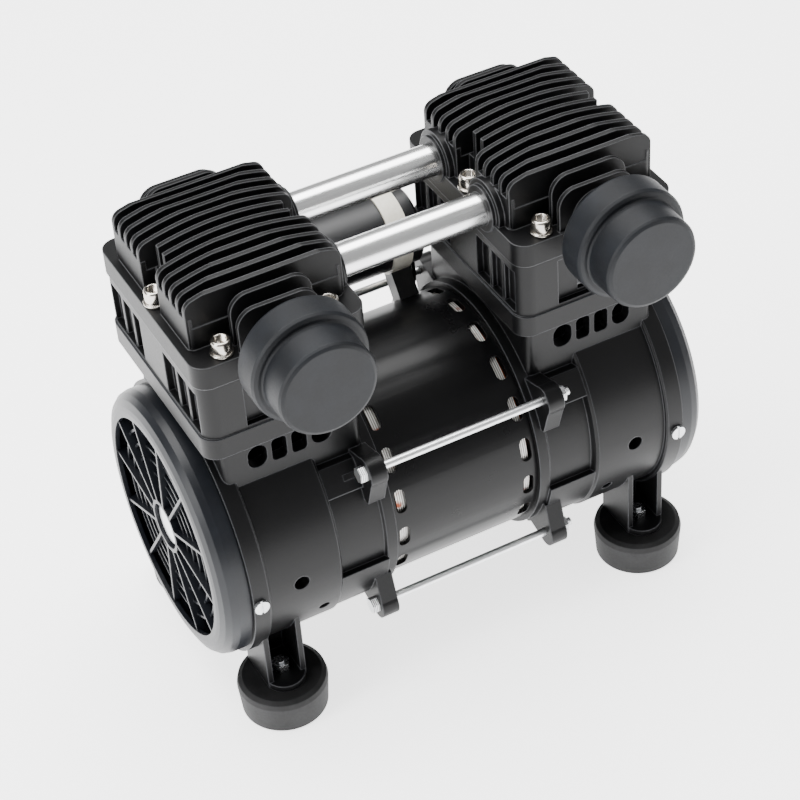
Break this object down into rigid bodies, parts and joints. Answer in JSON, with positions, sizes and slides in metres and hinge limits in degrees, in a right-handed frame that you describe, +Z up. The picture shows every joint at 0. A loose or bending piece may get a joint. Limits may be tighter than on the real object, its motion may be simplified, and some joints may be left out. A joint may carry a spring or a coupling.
{
  "type": "air compressor",
  "caption": "Oil-free piston air compressor: central motor with finned cylinder heads over a fan-cooled crankcase at each end, tubes between the heads and rubber feet.",
  "frame": {"origin": "centre of the four foot bolts, on the surface the compressor stands on", "axes": "+X along the motor shaft to the end with the air outlet, -Y to the front with the intake mufflers, +Z up"},
  "size_m": [0.263, 0.1747, 0.249],
  "materials": {
    "bare_aluminium": "machined",
    "black_casting": "die-cast aluminium with a satin black coat of fine grain",
    "black_enamel": "rolled steel with glossy black enamel",
    "black_plastic": "moulded, satin",
    "bright_tube": "polished, near mirror",
    "copper_coil": "enamelled copper wire under varnish and lacing tape",
    "cream_band": "plain cream band",
    "filter_felt": "white felt",
    "gasket_fibre": "pressed fibre sheet",
    "grey_plastic": "moulded blue-grey nylon, satin",
    "grey_rubber": "moulded blue-grey rubber, satin",
    "laminations": "stacked electrical steel, varnished",
    "lead_plastic": "glossy insulation",
    "nickel_steel": "nickel plating",
    "rubber": "moulded, matt",
    "seal_plastic": "filled sealing plastic",
    "spring_steel": "polished strip",
    "steel": "ground",
    "white_zinc": "bright zinc plating"
  },
  "bodies": {
    "housing": {"right_crankcase": "black_casting", "left_crankcase": "black_casting", "right_head": "black_casting", "left_head": "black_casting", "right_cylinder": "bare_aluminium", "left_cylinder": "bare_aluminium", "right_valve_plate": "steel", "left_valve_plate": "steel", "right_shaft_bearing": "steel", "left_shaft_bearing": "steel", "right_head_gasket": "gasket_fibre", "left_head_gasket": "gasket_fibre", "discharge_stops": "spring_steel", "right_fan_cover": "grey_plastic", "left_fan_cover": "grey_plastic", "right_muffler_base": "black_plastic", "left_muffler_base": "black_plastic", "right_muffler_cap": "grey_rubber", "left_muffler_cap": "grey_rubber", "right_filter_element": "filter_felt", "left_filter_element": "filter_felt", "motor_shell": "black_enamel", "stator_core": "laminations", "stator_windings": "copper_coil", "front_crossover_tube": "bright_tube", "rear_crossover_tube": "bright_tube", "tube_seals": "rubber", "head_screws": "nickel_steel", "head_washers": "nickel_steel", "fan_cover_screws": "white_zinc", "through_bolts": "white_zinc", "through_nuts": "white_zinc", "capacitor": "black_plastic", "capacitor_clip": "cream_band", "capacitor_leads": "lead_plastic", "foot_studs": "white_zinc", "foot_nuts": "white_zinc", "rear_port_plug": "nickel_steel", "front_left_foot": "rubber", "front_right_foot": "rubber", "rear_left_foot": "rubber", "rear_right_foot": "rubber"},
    "rotor": {"motor_shaft": "steel", "rotor_core": "laminations", "right_crank": "steel", "left_crank": "steel", "right_fan": "black_plastic", "left_fan": "black_plastic"},
    "right_piston": {"right_piston_rod": "bare_aluminium", "right_piston_cup_seal": "seal_plastic", "right_piston_cap": "bare_aluminium", "right_rod_bearing_ring": "steel"},
    "left_piston": {"left_piston_rod": "bare_aluminium", "left_piston_cup_seal": "seal_plastic", "left_piston_cap": "bare_aluminium", "left_rod_bearing_ring": "steel"},
    "right_intake_reed": {"right_intake_reed": "spring_steel"},
    "right_discharge_reed": {"right_discharge_reed": "spring_steel"},
    "left_intake_reed": {"left_intake_reed": "spring_steel"},
    "left_discharge_reed": {"left_discharge_reed": "spring_steel"}
  },
  "joints": [
    {"name": "rotor_spin", "type": "hinge", "parent": "housing", "child": "rotor", "pos_m": [0, 0, 0.0886], "axis": [1, 0, 0], "continuous": true},
    {"name": "right_piston_slide", "type": "slide", "parent": "housing", "child": "right_piston", "axis": [0, 0, 1], "range_m": [-0.006, 0.006]},
    {"name": "left_piston_slide", "type": "slide", "parent": "housing", "child": "left_piston", "axis": [0, 0, 1], "range_m": [-0.006, 0.006]},
    {"name": "right_intake_reed_flex", "type": "hinge", "parent": "housing", "child": "right_intake_reed", "pos_m": [0.066, -0.012, 0.19935], "axis": [0, 1, 0], "range_deg": [0, 4.5], "stiffness_Nm_per_rad": 0.05},
    {"name": "right_discharge_reed_flex", "type": "hinge", "parent": "housing", "child": "right_discharge_reed", "pos_m": [0.066, 0.013, 0.20415], "axis": [0, -1, 0], "range_deg": [0, 4.5], "stiffness_Nm_per_rad": 0.05},
    {"name": "left_intake_reed_flex", "type": "hinge", "parent": "housing", "child": "left_intake_reed", "pos_m": [-0.066, -0.012, 0.19935], "axis": [0, -1, 0], "range_deg": [0, 4.5], "stiffness_Nm_per_rad": 0.05},
    {"name": "left_discharge_reed_flex", "type": "hinge", "parent": "housing", "child": "left_discharge_reed", "pos_m": [-0.066, 0.013, 0.20415], "axis": [0, 1, 0], "range_deg": [0, 4.5], "stiffness_Nm_per_rad": 0.05}
  ]
}
